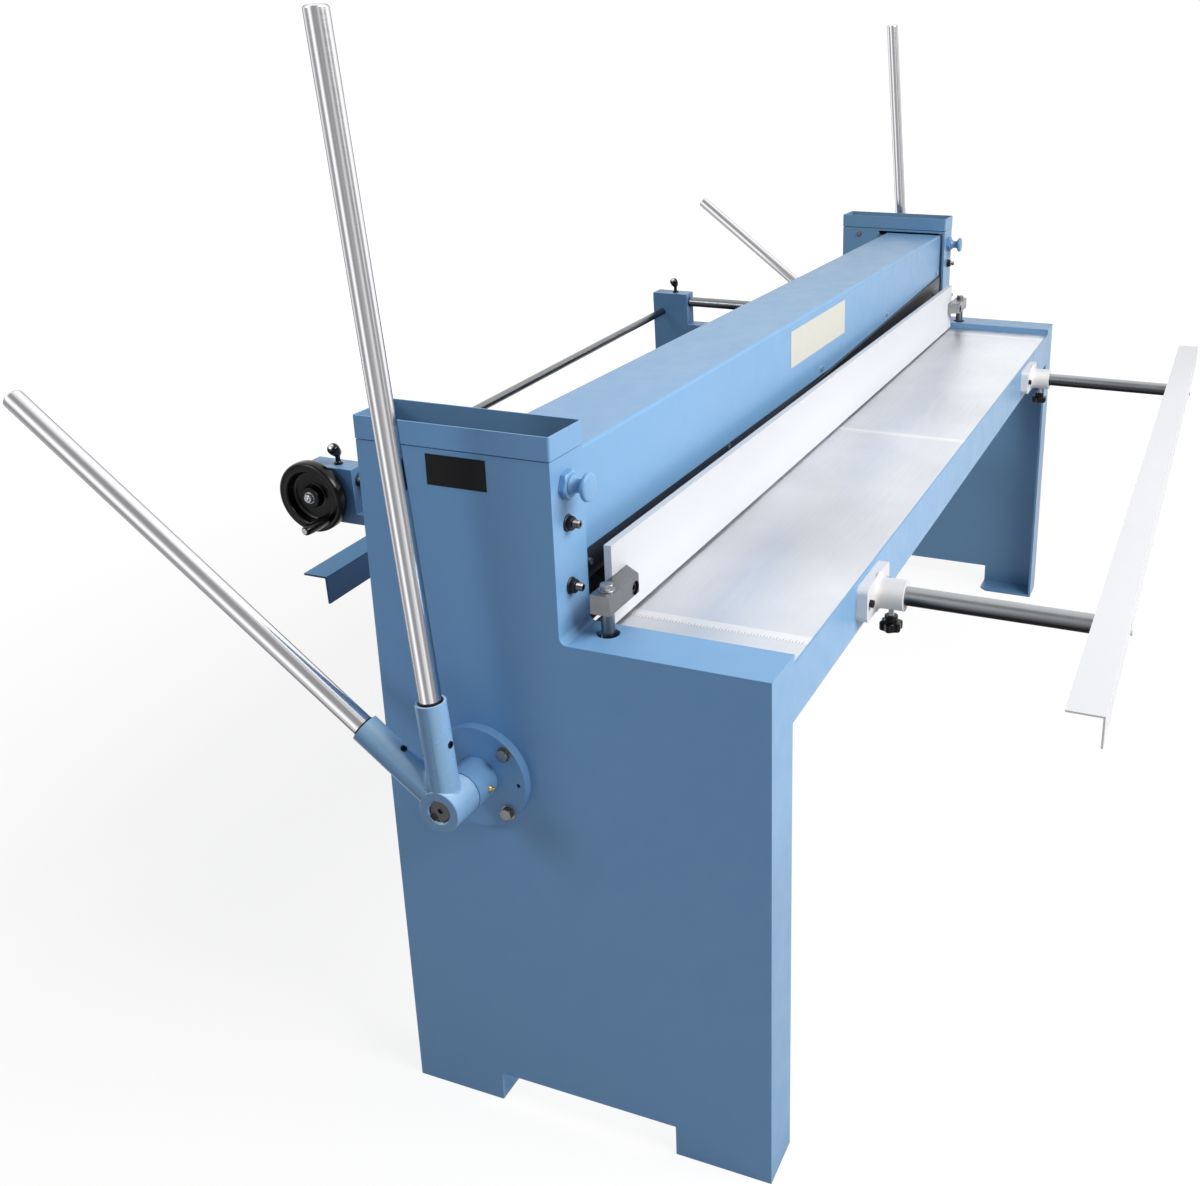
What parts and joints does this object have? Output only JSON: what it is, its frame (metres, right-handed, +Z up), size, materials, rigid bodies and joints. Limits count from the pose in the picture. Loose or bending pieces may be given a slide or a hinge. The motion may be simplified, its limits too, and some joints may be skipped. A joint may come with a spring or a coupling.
{
  "type": "sheet metal shear",
  "caption": "Hand-lever table shear with folded side frames, a sloping guillotine blade in a sliding beam, hold-down bar, front angle gauge and geared rear gauge.",
  "frame": {"origin": "floor level under the middle of the four floor bolts", "axes": "+X along the table to the operator's right, +Y to the rear gauge, +Z up; the operator stands on the -Y side"},
  "size_m": [2.64, 1.6134, 1.7117],
  "materials": {
    "frame_paint": "satin",
    "hub_paint": "satin",
    "carrier_paint": "satin",
    "white_coat": "satin",
    "blade_steel": "ground",
    "ground_steel": "ground",
    "bright_steel": "polished",
    "bolt_steel": "plated",
    "black_screw": "blackened",
    "cast_iron": "machined",
    "brass": "turned",
    "ruler": "satin",
    "bare_plate": "matt",
    "dark_plate": "matt",
    "black_plastic": "matt"
  },
  "bodies": {
    "frame": {"left_side_frame": "frame_paint", "right_side_frame": "frame_paint", "left_top_tray": "frame_paint", "right_top_tray": "frame_paint", "left_rear_guide": "frame_paint", "right_rear_guide": "frame_paint", "left_front_gib": "cast_iron", "right_front_gib": "cast_iron", "gib_screws": "black_screw", "left_bearing_flange": "frame_paint", "right_bearing_flange": "frame_paint", "frame_bolts": "bolt_steel", "grease_nipples": "brass", "bed_beam": "frame_paint", "lower_blade": "blade_steel", "table_plate": "ground_steel", "ruler_strips": "ruler", "front_apron": "frame_paint", "left_gauge_bushing": "white_coat", "right_gauge_bushing": "white_coat", "bushing_screws": "black_screw", "rating_plate": "dark_plate"},
    "lever_drive": {"main_shaft": "ground_steel", "shaft_cranks": "ground_steel", "left_lever_hub": "hub_paint", "right_lever_hub": "hub_paint", "left_upright_lever": "bright_steel", "left_raked_lever": "bright_steel", "right_upright_lever": "bright_steel", "right_raked_lever": "bright_steel", "hub_set_screws": "black_screw"},
    "blade_beam": {"beam_cover": "hub_paint", "blade_carrier": "carrier_paint", "left_slide_block": "cast_iron", "right_slide_block": "cast_iron", "upper_blade": "blade_steel", "blade_bolts": "black_screw", "cover_screws": "bolt_steel", "beam_plate": "bare_plate", "rear_gauge_rods": "ground_steel"},
    "hold_down": {"clamp_bar": "white_coat", "left_clamp_block": "ground_steel", "right_clamp_block": "ground_steel", "clamp_rods": "ground_steel", "clamp_screws": "bolt_steel"},
    "front_gauge": {"front_gauge_angle": "white_coat", "front_gauge_rods": "ground_steel", "front_gauge_screws": "black_screw"},
    "left_star": {"left_star_knob": "black_plastic"},
    "right_star": {"right_star_knob": "black_plastic"},
    "rear_gauge": {"left_carriage": "hub_paint", "right_carriage": "hub_paint", "rear_gauge_angle": "hub_paint"},
    "wheel": {"cross_shaft": "ground_steel", "handwheel": "black_plastic"},
    "grip": {"crank_grip": "black_plastic"},
    "left_lock": {"left_clamp_lever": "black_plastic"},
    "right_lock": {"right_clamp_lever": "black_plastic"},
    "left_gib": {"left_gib_knob": "hub_paint"},
    "right_gib": {"right_gib_knob": "hub_paint"}
  },
  "joints": [
    {"name": "blade_stroke", "type": "slide", "parent": "frame", "child": "blade_beam", "axis": [0, 0, -1], "range_m": [0, 0.09]},
    {"name": "lever_swing", "type": "hinge", "parent": "frame", "child": "lever_drive", "pos_m": [0, 0.147, 0.624], "axis": [1, 0, 0], "range_deg": [0, 75.1]},
    {"name": "hold_down_lift", "type": "slide", "parent": "frame", "child": "hold_down", "axis": [0, 0, 1], "range_m": [0, 0.015]},
    {"name": "front_gauge_slide", "type": "slide", "parent": "frame", "child": "front_gauge", "axis": [0, 1, 0], "range_m": [-0.05, 0.22]},
    {"name": "left_star_turn", "type": "hinge", "parent": "frame", "child": "left_star", "pos_m": [-0.75, -0.358, 0.76], "axis": [0, 0, 1], "range_deg": [-180, 0]},
    {"name": "right_star_turn", "type": "hinge", "parent": "frame", "child": "right_star", "pos_m": [0.75, -0.358, 0.76], "axis": [0, 0, 1], "range_deg": [-180, 0]},
    {"name": "rear_gauge_slide", "type": "slide", "parent": "blade_beam", "child": "rear_gauge", "axis": [0, -1, 0], "range_m": [0, 0.4]},
    {"name": "handwheel_turn", "type": "hinge", "parent": "rear_gauge", "child": "wheel", "pos_m": [-0.79419, 0.755, 0.85329], "axis": [0.9993, 0, 0.0361], "range_deg": [0, 1440]},
    {"name": "grip_spin", "type": "hinge", "parent": "wheel", "child": "grip", "pos_m": [-0.83284, 0.71823, 0.8151], "axis": [0.9993, 0, 0.0361], "continuous": true},
    {"name": "left_lock_turn", "type": "hinge", "parent": "rear_gauge", "child": "left_lock", "pos_m": [-0.76738, 0.72, 0.9143], "axis": [-0.0361, 0, 0.9993], "range_deg": [-60, 60]},
    {"name": "right_lock_turn", "type": "hinge", "parent": "rear_gauge", "child": "right_lock", "pos_m": [0.76362, 0.72, 0.96963], "axis": [-0.0361, 0, 0.9993], "range_deg": [-60, 60]},
    {"name": "left_gib_turn", "type": "hinge", "parent": "frame", "child": "left_gib", "pos_m": [-1.164, -0.02, 1.087], "axis": [0, -1, 0], "range_deg": [-90, 90]},
    {"name": "right_gib_turn", "type": "hinge", "parent": "frame", "child": "right_gib", "pos_m": [1.164, -0.02, 1.087], "axis": [0, -1, 0], "range_deg": [-90, 90]}
  ],
  "couplings": [
    {"joint": "lever_swing", "follows": "blade_stroke", "rad_per_m": 14.544},
    {"joint": "handwheel_turn", "follows": "rear_gauge_slide", "rad_per_m": 62.83}
  ]
}
